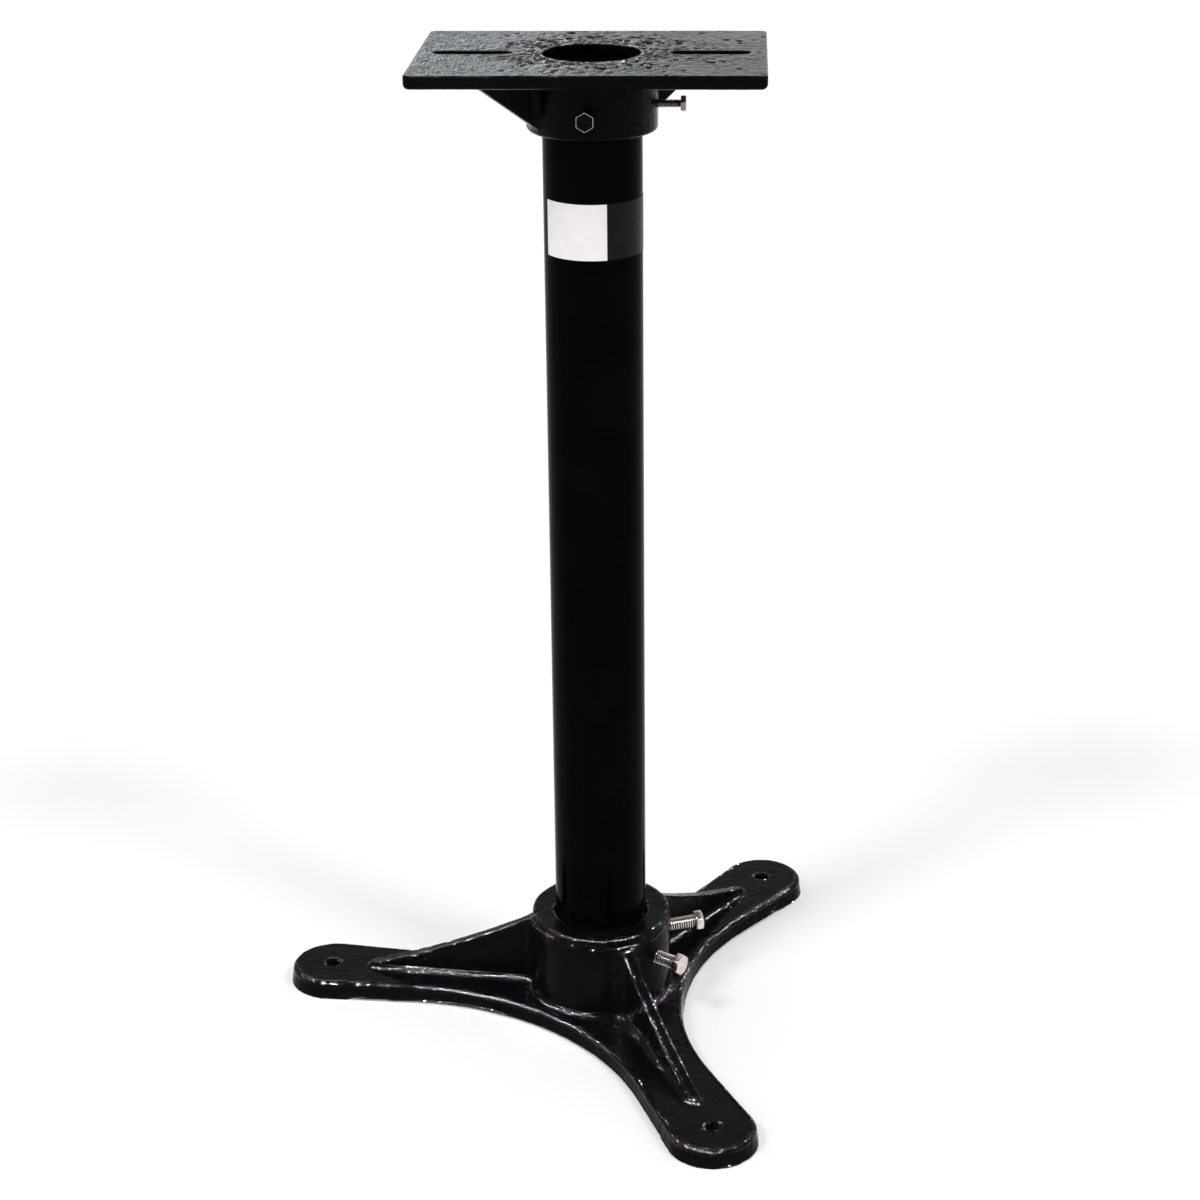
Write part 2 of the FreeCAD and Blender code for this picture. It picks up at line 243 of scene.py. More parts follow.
def base_field(x, y, z):
    """Hub, fins and leg plate, less the relief between the pads, the pockets, the holes and the bore."""
    leg_x, leg_y = leg_sector(x, y)
    axis_distance = np.hypot(x, y)
    outline = leg_plan(leg_x, leg_y)
    from_foot = np.hypot(leg_x - foot_circle_radius, leg_y)
    plate = meet(outline - leg_draft * (1 - z / leg_thickness), z - leg_thickness, leg_edge_round)
    hub = meet(axis_distance - hub_radius, z - hub_height, hub_rim_round)
    bars = capsule(leg_x, leg_y, fin_nose, fin_half)
    spokes = join(axis_distance - hub_radius, bars, fin_hub_round)
    above_fin = np.maximum(arc_side(leg_x, z, fin_root, fin_tip, fin_sag), z - fin_root[1])
    fins = meet(spokes, above_fin, fin_edge_round)
    body = join(join(fins, hub, fin_top_round), plate, fin_foot_round)
    off_pads = np.maximum(z - pad_proud, pad_radius - from_foot)
    pocket = np.maximum(outline + pocket_rim, z - leg_thickness + leg_web)
    pocket = np.maximum(pocket, pocket_start - axis_distance)
    pocket = np.maximum(pocket, pad_radius - from_foot)
    body = meet(meet(body, -off_pads, hole_lip), -z, floor_edge_round)
    body = meet(body, -pocket, hole_lip)
    body = meet(body, foot_hole_radius - from_foot, foot_hole_lip)
    body = meet(body, -np.maximum(axis_distance - hub_bore_radius, seat_height - z), hole_lip)
    body = np.maximum(body, seat_radius - axis_distance)
    for name in base_bolts:
        body = np.maximum(body, -tapped_hole(x, y, z, name))
    return body


def from_slots(x, y):
    """Distance from the edge of the nearer slot in the table, below zero inside it."""
    past_end = np.maximum(np.abs(np.abs(x) - slot_middle) - slot_half_length + slot_radius, 0)
    return np.hypot(past_end, y) - slot_radius


def table_field(x, y, z):
    """Plate, collar and ribs, less the centre hole, the bore, the slots and the tapped holes."""
    axis_distance = np.hypot(x, y)
    underside = table_height - table_thickness
    collar_bottom = underside - collar_depth
    rib_x = np.abs(x * math.cos(rib_angle) + y * math.sin(rib_angle))
    rib_y = y * math.cos(rib_angle) - x * math.sin(rib_angle)
    off_x = np.abs(x) - table_width / 2 + table_corner_round
    off_y = np.abs(y) - table_depth / 2 + table_corner_round
    off_corner = np.hypot(np.maximum(off_x, 0), np.maximum(off_y, 0))
    plan = off_corner + np.minimum(np.maximum(off_x, off_y), 0) - table_corner_round
    plate = meet(plan, underside - z, table_under_round)
    collar = meet(axis_distance - collar_radius, collar_bottom - z, collar_edge_round)
    bars = capsule(rib_x, rib_y, rib_nose, rib_half)
    spokes = join(axis_distance - collar_radius, bars, rib_collar_round)
    first = np.array([rib_root[0], collar_bottom + rib_root[1]])
    last = np.array([rib_tip[0], underside + rib_tip[1]])
    run = (last - first) / np.linalg.norm(last - first)
    below = np.maximum((rib_x - first[0]) * run[1] - (z - first[1]) * run[0], first[1] - z)
    ribs = meet(spokes, below, rib_edge_round)
    body = join(join(ribs, collar, rib_top_round), plate, rib_foot_round)
    body = meet(body, z - table_height, table_top_round)
    body = meet(body, centre_hole_radius - axis_distance, centre_hole_round)
    body = np.maximum(body, -np.maximum(axis_distance - collar_bore_radius, z - underside))
    body = meet(body, -from_slots(x, y), hole_lip)
    for name in top_bolts:
        body = np.maximum(body, -tapped_hole(x, y, z, name))
    return body


# ---- Meshing a field ----
def crossing_points(grid, crossed):
    """For each crossed cell, the mean of where the zero level cuts its edges, in grid steps."""
    summed = np.zeros((len(crossed), 3))
    count = np.zeros(len(crossed))
    for axis in range(3):
        for i in (0, 1):
            for j in (0, 1):
                near = np.insert([i, j], axis, 0)
                far = np.insert([i, j], axis, 1)
                a = grid[tuple((crossed + near).T)]
                b = grid[tuple((crossed + far).T)]
                cut = (a < 0) != (b < 0)
                share = np.where(cut, a / np.where(cut, a - b, 1), 0)
                spot = near + share[:, None] * (far - near)
                summed += spot * cut[:, None]
                count += cut
    return crossed + summed / count[:, None]


def crossing_quads(inside, number):
    """A quad for each grid edge that the zero level cuts, through the points of the cells around it."""
    quads = []
    for axis in range(3):
        u, v = [other for other in range(3) if other != axis]
        first = inside.take(range(inside.shape[axis] - 1), axis)
        second = inside.take(range(1, inside.shape[axis]), axis)
        edges = np.argwhere(first != second)
        edges = edges[(edges[:, u] > 0) & (edges[:, v] > 0)]
        rising = first[tuple(edges.T)] != (axis == 1)
        ring = []
        for du, dv in ((1, 1), (0, 1), (0, 0), (1, 0)):
            cell = edges.copy()
            cell[:, u] -= du
            cell[:, v] -= dv
            ring.append(number[tuple(cell.T)])
        ring = np.stack(ring, 1)
        quads.append(np.where(rising[:, None], ring, ring[:, ::-1]))
    return np.concatenate(quads)


def surface_net(field, low, high, step):
    """Points and quads around the zero level of a field, one point in each grid cell it crosses."""
    sides = [np.arange(a, b + step, step) for a, b in zip(low, high)]
    grid = field(*np.meshgrid(*sides, indexing="ij"))
    inside = grid < 0
    cells = [n - 1 for n in grid.shape]
    corners_inside = sum(
        inside[i : i + cells[0], j : j + cells[1], k : k + cells[2]].astype(np.int8)
        for i in (0, 1) for j in (0, 1) for k in (0, 1)
    )
    crossed = np.argwhere((corners_inside > 0) & (corners_inside < 8))
    number = np.full(cells, -1, np.int64)
    number[tuple(crossed.T)] = np.arange(len(crossed))
    points = np.array(low) + crossing_points(grid, crossed) * step
    return points, crossing_quads(inside, number)


def slope(field, points, width=0.05, least=0.3):
    """Unit normals of the field at the points, by differences, and its steepness, at least that."""
    change = []
    for axis in range(3):
        shift = np.zeros(3)
        shift[axis] = width
        change.append(field(*(points + shift).T) - field(*(points - shift).T))
    gradient = np.stack(change, 1) / (2 * width)
    steepness = np.linalg.norm(gradient, axis=1)
    return gradient / np.maximum(steepness, 1e-6)[:, None], np.maximum(steepness, least)


def settle(field, points, step, rounds=4):
    """Moves the points onto the zero level."""
    for _ in range(rounds):
        normals, steepness = slope(field, points)
        points = points - normals * np.clip(field(*points.T) / steepness, -step / 2, step / 2)[:, None]
    return points


def bend(field, points, width=1.2):
    """How sharply the surface is bent at each point: about one over its radius in millimetres."""
    change = -6 * field(*points.T)
    for axis in range(3):
        shift = np.zeros(3)
        shift[axis] = width
        change += field(*(points + shift).T) + field(*(points - shift).T)
    return np.abs(change) / width**2


def grain(points, size, seed, octaves=3):
    """Smooth noise from about -1 to 1 at each point, with lumps of that size."""
    places = points / size + seed
    return np.array([noise.fractal(Vector(place), 1.0, 2.0, octaves) for place in places])


def mesh_object(name, points, faces, body, node_name, materials, sharp=None):
    """A piece in metres that replaces a CAD node, rides on its body and is shaded smooth.

    Edges bent by more than sharp degrees stay sharp.
    """
    mesh = bpy.data.meshes.new(name)
    mesh.from_pydata((np.asarray(points) * MM).tolist(), [], [list(map(int, face)) for face in faces])
    mesh.validate()
    mesh.shade_smooth()
    if sharp is not None:
        mesh.set_sharp_from_angle(angle=math.radians(sharp))
    for made_of in materials:
        mesh.materials.append(made_of)
    piece = bpy.data.objects.new(name, mesh)
    scene.collection.objects.link(piece)
    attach(piece, body)
    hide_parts(node_name)
    return piece


def point_values(piece, name, values):
    """A number on each point of a piece's mesh, for its material to read."""
    piece.data.attributes.new(name, "FLOAT", "POINT").data.foreach_set("value", values)


def second_material(piece, chosen):
    """Gives the chosen faces of a piece the second of its materials."""
    piece.data.polygons.foreach_set("material_index", [int(is_chosen) for is_chosen in chosen])


# ---- Node trees ----
def empty_tree(owner):
    """The node tree of a material or a world, with nothing in it."""
    owner.use_nodes = True
    owner.node_tree.nodes.clear()
    return owner.node_tree


def node(tree, kind, settings=None, **inputs):
    """A shader node. Its inputs are values or sockets, by name with _ for spaces, or by _ and number."""
    made = tree.nodes.new("ShaderNode" + kind)
    for key, value in (settings or {}).items():
        setattr(made, key, value)
    for key, value in inputs.items():
        socket = made.inputs[int(key[1:]) if key[1:].isdigit() else key.replace("_", " ")]
        if isinstance(value, bpy.types.NodeSocket):
            tree.links.new(value, socket)
        else:
            socket.default_value = value
    return made


def material(name):
    """A new material, its empty tree, and object space in it."""
    made = bpy.data.materials.new(name)
    tree = empty_tree(made)
    return made, tree, node(tree, "TexCoord").outputs["Object"]


def surface(tree, colour, gloss, normal, **uniform):
    """The Principled shader as the tree's output, its uniform inputs set on its own sockets."""
    shader = node(tree, "BsdfPrincipled", Base_Color=colour, Roughness=gloss, Normal=normal, **uniform)
    node(tree, "OutputMaterial", _0=shader.outputs[0])


def attribute(tree, name):
    return node(tree, "Attribute", {"attribute_name": name}).outputs["Fac"]


def stretched(tree, place, *scale):
    return node(tree, "Mapping", Vector=place, Scale=scale).outputs[0]


def lumps(tree, place, size, detail=3.0, roughness=0.5):
    """Noise whose lumps are about size millimetres across."""
    inputs = {"Vector": place, "Scale": 1 / (size * MM), "Detail": detail, "Roughness": roughness}
    return node(tree, "TexNoise", **inputs).outputs["Fac"]


def spread(tree, value, given, wanted):
    """The value mapped from one (low, high) range to another, and held at its ends."""
    ends = zip(("From_Min", "From_Max", "To_Min", "To_Max"), (*given, *wanted))
    return node(tree, "MapRange", Value=value, **dict(ends)).outputs[0]


def combine(tree, operation, first, *others):
    """The values combined by a Math operation, from left to right."""
    result = first
    for other in others:
        result = node(tree, "Math", {"operation": operation}, _0=result, _1=other).outputs[0]
    return result


def total(tree, *values):
    return combine(tree, "ADD", *values)


def product(tree, *values):
    return combine(tree, "MULTIPLY", *values)


def shades(tree, value, stops):
    """A colour ramp: stops are (position, (red, green, blue))."""
    ramp = node(tree, "ValToRGB", Fac=value)
    elements = ramp.color_ramp.elements
    while len(elements) < len(stops):
        elements.new(0.5)
    for element, (position, colour) in zip(elements, stops):
        element.position = position
        element.color = (*colour, 1)
    return ramp.outputs["Color"]


def bump(tree, height, depth, normal=None):
    """Bump from a height of 0 to 1 that is depth millimetres high."""
    inputs = {"Height": height, "Strength": 1.0, "Distance": depth * MM}
    if normal is not None:
        inputs["Normal"] = normal
    return node(tree, "Bump", **inputs).outputs[0]


# ---- Materials ----
def cast_enamel(name, ior, shade, dullest, lump_depth, pit_size, pit_depth):
    """Gloss black enamel over a sand casting: lumps, sand grain, pinholes, and worn thin on arrises.

    The mesh's attribute rough says how lumpy the casting is at each place, and its attribute sandy
    how much of the sand's fine grain shows there.
    """
    grain_depth = 1.8
    tints = (                   # positions in the ramp of tones, and colours as shares of shade
        (0.15, (0.6, 0.58, 0.75)),
        (0.4, (1.0, 0.97, 1.2)),
        (0.9, (5.2, 5.0, 4.7)),
    )
    made, tree, place = material(name)
    rough = attribute(tree, "rough")
    sandy = attribute(tree, "sandy")
    lump = lumps(tree, place, size=5.0)
    normal = bump(tree, product(tree, lump, rough), lump_depth)
    sand = lumps(tree, stretched(tree, place, 1.0, 0.45, 1.0), size=1.9, roughness=0.6)
    normal = bump(tree, product(tree, sand, sandy), grain_depth, normal)
    pits = node(tree, "TexVoronoi", Vector=place, Scale=1 / (pit_size * MM), Randomness=1.0)
    pits = spread(tree, pits.outputs["Distance"], (0.0, 0.3), (-1.0, 0.0))
    few = spread(tree, lumps(tree, place, size=14.0), (0.4, 0.6), (0.0, 1.0))
    normal = bump(tree, product(tree, pits, few, rough), pit_depth, normal)
    arrises = spread(tree, node(tree, "NewGeometry").outputs["Pointiness"], (0.53, 0.6), (0.0, 0.6))
    worn = product(tree, arrises, lumps(tree, place, size=3.0, detail=6.0, roughness=0.7))
    uneven = product(tree, lumps(tree, place, size=60.0, detail=6.0), 0.45)
    stops = [(position, [shade * part for part in tint]) for position, tint in tints]
    colour = shades(tree, total(tree, uneven, worn), stops)
    patches = lumps(tree, place, size=9.0, detail=4.0, roughness=0.6)
    gloss = spread(tree, patches, (0.42, 0.6), (dullest / 3, dullest))
    surface(tree, colour, gloss, normal, IOR=ior)
    return made


def tube_enamel():
    """Gloss black enamel on drawn tube: orange peel, and faint drawing lines along it."""
    darker, lighter = (0.0008, 0.0008, 0.001), (0.0018, 0.0018, 0.0022)
    made, tree, place = material("tube_enamel")
    along_tube = stretched(tree, place, 1.0, 1.0, 0.03)
    peel = product(tree, lumps(tree, place, size=2.2, detail=2.0), 0.5)
    drawn = product(tree, lumps(tree, along_tube, size=4.0), 0.5)
    normal = bump(tree, total(tree, peel, drawn), depth=0.05)
    tone = lumps(tree, place, size=45.0, detail=6.0)
    colour = shades(tree, tone, [(0.35, darker), (0.7, lighter)])
    gloss = spread(tree, lumps(tree, along_tube, size=12.0, detail=4.0), (0.3, 0.7), (0.08, 0.18))
    surface(tree, colour, gloss, normal, IOR=1.06)
    return made


def bolt_metal(name, bright, dull, roughest):
    """Plated or blackened steel: patchy, with a fine grain, and painted shade darkening the thread's grooves."""
    # painted shade: a dark colour put in the thread's grooves, where shade falls
    groove_shade = (0.02, 0.014, 0.013)
    made, tree, place = material(name)
    patches = lumps(tree, place, size=2.5, detail=5.0, roughness=0.6)
    # painted shade: the deeper a point lies in a groove, the darker its colour
    shaded_groove = spread(tree, attribute(tree, "groove"), (0.3, 0.7), (0.0, 1.0))
    tone = combine(tree, "SUBTRACT", patches, shaded_groove)
    colour = shades(tree, tone, [(0.0, groove_shade), (0.3, dull), (0.6, bright)])
    worn = lumps(tree, place, size=0.9, detail=4.0)
    gloss = spread(tree, worn, (0.3, 0.7), (roughest - 0.12, roughest))
    normal = bump(tree, lumps(tree, place, size=0.5), depth=0.015)
    surface(tree, colour, gloss, normal, Metallic=1.0)
    return made


def label_film(name, ior, darker, lighter, roughness):
    """Printed film: slightly uneven ink, a faint satin grain, and handling marks."""
    marks = 0.08                # how much duller and glossier than its roughness the film gets
    made, tree, place = material(name)
    ink = lumps(tree, place, size=9.0, detail=6.0, roughness=0.6)
    colour = shades(tree, ink, [(0.3, darker), (0.65, lighter)])
    handled = lumps(tree, place, size=3.0, detail=5.0)
    gloss = spread(tree, handled, (0.3, 0.7), (roughness - marks, roughness + marks))
    normal = bump(tree, lumps(tree, place, size=1.2), depth=0.012)
    surface(tree, colour, gloss, normal, IOR=ior)
    return made


# ---- Castings ----
def casting(name, node_name, body, field, low, high, step, lumps_at, finish_at, made_of):
    """A field meshed over its box, settled on its surface and roughened along its normals.

    lumps_at gives the height of the lumps, and finish_at what the enamel's attributes rough and
    sandy say, both at points whose normals they are given too.
    """
    margin = 2 * step
    points, quads = surface_net(field, [c - margin for c in low], [c + margin for c in high], step)
    points = settle(field, points, step)
    normals, _ = slope(field, points)
    points = points + normals * lumps_at(points, normals)[:, None]
    piece = mesh_object(name, points, quads, body, node_name, [made_of])
    rough, sandy = finish_at(points, normals)
    point_values(piece, "rough", rough)
    point_values(piece, "sandy", sandy)
    return piece


def off_bore(points, bore_radius):
    """0 in a machined bore and just outside it, rising to 1 where the casting is as cast."""
    skin, fade = 1.0, 2.0
    from_bore = np.hypot(points[:, 0], points[:, 1]) - bore_radius
    return np.clip((from_bore - skin) / fade, 0, 1)


def off_bolts(points, names):
    """0 in the tapped holes of those bolts, rising to 1 a little way off, so that no lump fouls them."""
    fade = 1.5
    nearest = np.minimum.reduce([tapped_hole(*points.T, name) for name in names])
    return np.clip(nearest / fade, 0, 1)


def base_lumps(points, normals):
    """Waves and lumps of a sand casting, dying out in the machined bore and under the feet."""
    floor_skin = 0.3
    cast = off_bore(points, hub_bore_radius) * (points[:, 2] > floor_skin)
    cast *= off_bolts(points, base_bolts)
    wave_height, lump_height = 0.25, 0.19
    waves = wave_height * grain(points, size=30.0, seed=3.1)
    return cast * (waves + lump_height * grain(points, size=6.0, seed=11.7))


def base_finish(points, normals):
    """How lumpy and how sandy the base casting is: smooth on its flats, lumpy on fillets and arrises."""
    flat_bend, round_bend = 0.04, 0.16      # one over the radius in millimetres
    flat_rough, sandy = 0.15, 0.08
    patches = np.clip(0.75 + 0.5 * grain(points, size=40.0, seed=8.8, octaves=2), 0.35, 1)
    curved = np.clip((bend(base_field, points) - flat_bend) / (round_bend - flat_bend), 0, 1)
    return (flat_rough + (1 - flat_rough) * curved) * patches, sandy * patches


def casting_pits(points):
    """Depth of the pits in the table's top face.

    Most are small and lie around the centre hole, some are scattered all over, and a few are large.
    A pit's steepness is its depth as a share of its radius.
    """
    random = np.random.default_rng(11)
    near, far, large = 620, 90, 40
    lip, crowding = 2, 24       # from the hole's edge to the nearest pits, and from there on average
    rim = 12                    # twice the plain strip along the table's sides
    outward = 1.04              # how much further out a large pit lies than a near one that it joins
    small_radii, large_radii = (1.6, 3.2), (3.4, 5.4)
    near_steepness, far_steepness, large_steepness = (0.15, 0.7), (0.06, 0.25), (0.35, 0.6)
    left_end, left_share = -70, 0.4     # the left end's pits are shallower
    distance = centre_hole_radius + lip + random.exponential(crowding, near)
    angle = random.uniform(0, 2 * np.pi, near)
    scattered = random.uniform(-0.5, 0.5, (far, 2)) * [table_width - rim, table_depth - rim]
    around = np.stack([distance * np.cos(angle), distance * np.sin(angle)], 1)
    middles = np.concatenate([around, scattered, around[:large] * outward])
    radii = np.concatenate([
        random.uniform(*small_radii, near + far),
        random.uniform(*large_radii, large),
    ])
    steepness = np.concatenate([
        random.uniform(*near_steepness, near),
        random.uniform(*far_steepness, far),
        random.uniform(*large_steepness, large),
    ])
    steepness *= np.where(middles[:, 0] < left_end, left_share, 1)
    depth = np.zeros(len(points))
    for middle, radius, steep in zip(middles, radii, steepness):
        share = np.clip(1 - ((points[:, :2] - middle) ** 2).sum(1) / radius**2, 0, 1)
        depth = np.maximum(depth, steep * radius * share**2)
    return depth


def table_finish(points, normals):
    """How lumpy and how sandy the top casting is: lumpy around the hole, sandy at the left end."""
    hole_spread = 42.0
    left_from, left_fade = 60.0, 50.0
    under_rough, under_sandy = 0.5, 0.25    # below the plate
    axis_distance = np.hypot(points[:, 0], points[:, 1])
    around = np.exp(-np.maximum(axis_distance - centre_hole_radius, 0) / hole_spread)
    leftward = np.clip((-points[:, 0] - left_from) / left_fade, 0, 1)
    patches = grain(points, size=35.0, seed=21.3, octaves=2)
    rough = 0.15 + 0.95 * around + 0.35 * patches * (0.4 + around) - 0.12 * leftward
    sandy = 0.15 + 0.7 * around + 1.3 * leftward + 0.2 * patches
    level = 0.1 + 0.9 * np.clip(normals[:, 2], 0, 1)
    in_plate = points[:, 2] > table_height - table_thickness
    rough = np.where(in_plate, np.clip(rough, 0.08, 1) * level, under_rough)
    sandy = np.where(in_plate, np.clip(sandy, 0.06, 1.5) * level, under_sandy)
    return rough, sandy


def table_lumps(points, normals):
    """A casting's lumps, coarser on the top face and most of all around the centre hole.

    They die out towards the rim, the hole and the slots, whose edges are clean.
    """
    top_skin = 2.0
    clean_edge, edge_fade = 0.8, 3.0
    wave_height, lump_height = 0.08, 0.06
    top_lump_height, sand_height = 0.85, 0.3
    on_top = points[:, 2] > table_height - top_skin
    cast = np.maximum(off_bore(points, collar_bore_radius), on_top)
    cast *= off_bolts(points, top_bolts)
    x, y = points[:, 0], points[:, 1]
    from_sides = np.minimum(table_width / 2 - np.abs(x), table_depth / 2 - np.abs(y))
    from_edge = np.minimum.reduce([from_slots(x, y), from_sides, np.hypot(x, y) - centre_hole_radius])
    top = np.clip(normals[:, 2], 0, 1) * on_top * np.clip((from_edge - clean_edge) / edge_fade, 0, 1)
    lump = grain(points, size=6.5, seed=5.9)
    sand = grain(points, size=2.5, seed=17.3, octaves=2)
    rough, sandy = table_finish(points, normals)
    top_lumps = top_lump_height * rough * lump + sand_height * sandy * sand
    waves = wave_height * grain(points, size=30.0, seed=7.7) + lump_height * lump
    return cast * (waves + top * (top_lumps - casting_pits(points)))


# ---- Set bolts ----
def thread_radius(size, x, angle, length):
    """Radius of a right-hand thread, run out at the tip's chamfer and under the head."""
    root_share, flank_share = 0.2, 0.25     # widths of a groove's floor and of each flank, in pitches
    turn = (x / size.pitch - angle / (2 * np.pi)) % 1.0
    flank = np.clip((np.abs(turn - 0.5) - root_share / 2) / flank_share, 0, 1)
    radius = size.radius - size.thread_depth * (1 - flank)
    chamfer = size.radius - np.maximum(bolt_tip_chamfer - (x + length), 0)
    run_out = np.clip((x + bolt_neck_start) / bolt_neck_run, 0, 1)
    neck = size.radius - size.thread_depth * run_out
    return np.minimum(np.minimum(radius, chamfer), neck)


def hexagon(angle, across_flats, corner_share=0.985):
    """Radius of a hexagon with slightly rounded corners."""
    sector = np.pi / 3
    off = (angle + sector / 2) % sector - sector / 2
    return np.minimum(across_flats / 2 / np.cos(off), across_flats / np.sqrt(3) * corner_share)


def bolt_mesh(size, length):
    """A fully threaded hex bolt along +X, its head beginning at the origin.

    Returns its points, its faces, how deep in the thread each point is, and which faces lie on the
    rounded edge of the hexagon.
    """
    around, rings_per_turn = 96, 14
    angle = np.arange(around) * 2 * np.pi / around
    rings = np.linspace(-length, 0, round(length / size.pitch * rings_per_turn))
    rows = [(x, thread_radius(size, x, angle, length)) for x in rings]
    top = size.head_height
    flat = size.across_flats / 2
    washer = flat - 0.2
    washer_bevel, washer_bevel_height = 0.15, 0.12
    face = flat * 0.96          # where the head's 30 degree chamfer ends
    face_round, face_inset = 0.1, 0.15
    hexed = hexagon(angle - math.radians(size.turn), size.across_flats)
    shoulder = top - (hexed - face) * math.tan(math.radians(30))
    soften = 0.22               # of the hexagon's two edges, each as three rows
    rows += [
        (0.0, washer - washer_bevel),
        (washer_bevel_height, washer),
        (bolt_washer_face, washer),
        (bolt_washer_face, hexed - soften),
        (bolt_washer_face + soften * 0.3, hexed - soften * 0.3),
        (bolt_washer_face + soften, hexed),
    ]
    rim_rows = range(len(rows), len(rows) + 2)      # the two bands of the outer edge
    rows += [
        (shoulder - soften, hexed),
        (shoulder + soften * 0.1, hexed - soften * 0.35),
        (shoulder + soften * 0.55, hexed - soften - soften * 0.5),
        (top - face_round, face + face_round),
        (top, face - face_inset),
        (top, face / 2),
    ]
    points = []
    for x, radius in rows:
        x, radius, _ = np.broadcast_arrays(x, radius, angle)
        points.append(np.stack([x, radius * np.cos(angle), radius * np.sin(angle)], 1))
    points = np.concatenate([*points, [[-length, 0, 0], [top, 0, 0]]])
    groove = np.clip((size.radius - np.hypot(points[:, 1], points[:, 2])) / size.thread_depth, 0, 1)
    groove *= points[:, 0] < 0
    faces = []
    rim = []
    for row in range(len(rows) - 1):
        for i in range(around):
            j = (i + 1) % around
            below, above = row * around, (row + 1) * around
            faces.append((below + i, above + i, above + j, below + j))
            rim.append(row in rim_rows)
    last = (len(rows) - 1) * around
    tip, crown = len(points) - 2, len(points) - 1
    for i in range(around):
        j = (i + 1) % around
        faces.append((tip, i, j))
        faces.append((crown, last + j, last + i))
        rim += [False, False]
    return points, faces, groove, rim


def set_bolt(name, made_of, rim_made_of):
    """The bolt at its CAD node's place, turned to its axis."""
    outer, tip = bolt_reach(name)
    size = bolt_sizes[name]
    points, faces, groove, rim = bolt_mesh(size, outer - tip - size.head_height)
    axis = bolt_axes[name]
    side = Vector((-axis.y, axis.x, 0))
    turn = np.array([axis, side, (0, 0, 1)])
    points = points @ turn
    points += np.array(axis) * (outer - size.head_height) + np.array([0, 0, bolt_height(name)])
    piece = mesh_object(name + "_threaded", points, faces, name + "_screw", name,
                        [made_of, rim_made_of], sharp=40)
    second_material(piece, rim)
    point_values(piece, "groove", groove)
    return piece


# ---- Column and label ----
def lathe(profile, around):
    """Points and quads of a closed (radius, z) profile turned about the column's axis."""
    angle = np.arange(around) * 2 * np.pi / around
    points = [
        (radius * math.cos(a), radius * math.sin(a), z)
        for radius, z in profile for a in angle
    ]
    faces = []
    for row in range(len(profile)):
        after = (row + 1) % len(profile)
        for i in range(around):
            j = (i + 1) % around
            faces.append((row * around + i, row * around + j, after * around + j, after * around + i))
    return points, faces


def column():
    """The tube, its ends chamfered inside and out, with rings along it so that no face is very long."""
    around, ring_gap = 192, 12.0
    outer, inner = tube_radius, tube_radius - tube_wall
    low, high = tube_low.z, tube_high.z
    chamfer = tube_end_chamfer
    rings = np.linspace(low + chamfer, high - chamfer, round((high - low) / ring_gap))
    profile = [(outer, z) for z in rings]
    profile += [(outer - chamfer, high), (inner + chamfer, high)]
    profile += [(inner, z) for z in rings[::-1]]
    profile += [(inner + chamfer, low), (outer - chamfer, low)]
    points, faces = lathe(profile, around)
    return mesh_object("column_enamelled", points, faces, "column", "column_tube",
                       [tube_enamel()], sharp=30)


def label():
    """The wrap-around label: one film with rounded corners, in a pale and a dark panel."""
    panel_columns, middle_rows = 49, 26
    radius = tube_radius + label_glue + label_thickness
    bottom, top = label_low.z, label_high.z
    split_share = (label_split - label_start) / (label_end - label_start)
    pale_columns = np.linspace(0, split_share, panel_columns)
    columns = np.concatenate([pale_columns, np.linspace(split_share, 1, panel_columns)[1:]])
    at_corner = [label_corner_round * share for share in (0, 0.1, 0.3, 0.6, 1.0)]
    heights = [bottom + near for near in at_corner]
    heights += list(np.linspace(bottom, top, middle_rows)[1:-1])
    heights += [top - near for near in reversed(at_corner)]
    points, faces, dark = [], [], []
    for z in heights:
        short = max(label_corner_round - min(z - bottom, top - z), 0)
        inset = (label_corner_round - math.sqrt(label_corner_round**2 - short**2)) / radius
        for share in columns:
            angle = label_start + inset + share * (label_end - label_start - 2 * inset)
            points.append((radius * math.cos(angle), radius * math.sin(angle), z))
    width = len(columns)
    for row in range(len(heights) - 1):
        below, above = row * width, (row + 1) * width
        for i in range(width - 1):
            faces.append((below + i, below + i + 1, above + i + 1, above + i))
            dark.append(columns[i] >= split_share - 1e-6)
    pale_film = label_film("label_pale_film", ior=1.4, roughness=0.35,
                           darker=(0.86, 0.83, 0.83), lighter=(0.93, 0.9, 0.9))
    dark_film = label_film("label_dark_film", ior=1.15, roughness=0.32,
                           darker=(0.006, 0.005, 0.0045), lighter=(0.01, 0.009, 0.008))
    piece = mesh_object("column_label_film", points, faces, "column", "column_label",
                        [pale_film, dark_film])
    second_material(piece, dark)
    solid = piece.modifiers.new("film", "SOLIDIFY")
    solid.thickness = label_thickness * MM
    solid.offset = -1
    return piece


# ---- Stage ----
def white_seen(tree):
    """1 for the rays that should meet a white background: camera, mirror and glass rays."""
    path = node(tree, "LightPath")
    rays = [path.outputs[ray] for ray in ("Is Camera Ray", "Is Glossy Ray", "Is Transmission Ray")]
    return combine(tree, "MAXIMUM", *rays)


def surround(ambient):
    """A white world that lights less than it shows.

    What mirrors see of it is white too, but for the darker ceiling straight above.
    """
    ceiling_from, ceiling_full = math.radians(58), math.radians(70)
    ceiling_white = 0.1
    world = bpy.data.worlds.new("studio")
    tree = empty_tree(world)
    direction = node(tree, "TexCoord").outputs["Generated"]
    height = node(tree, "SeparateXYZ", Vector=direction).outputs["Z"]
    overhead = (math.sin(ceiling_from), math.sin(ceiling_full))
    shown = spread(tree, height, overhead, (1.0, ceiling_white))
    strength = spread(tree, white_seen(tree), (0.0, 1.0), (ambient, shown))
    background = node(tree, "Background", Color=(1, 1, 1, 1), Strength=strength)
    node(tree, "OutputWorld", _0=background.outputs[0])
    scene.world = world


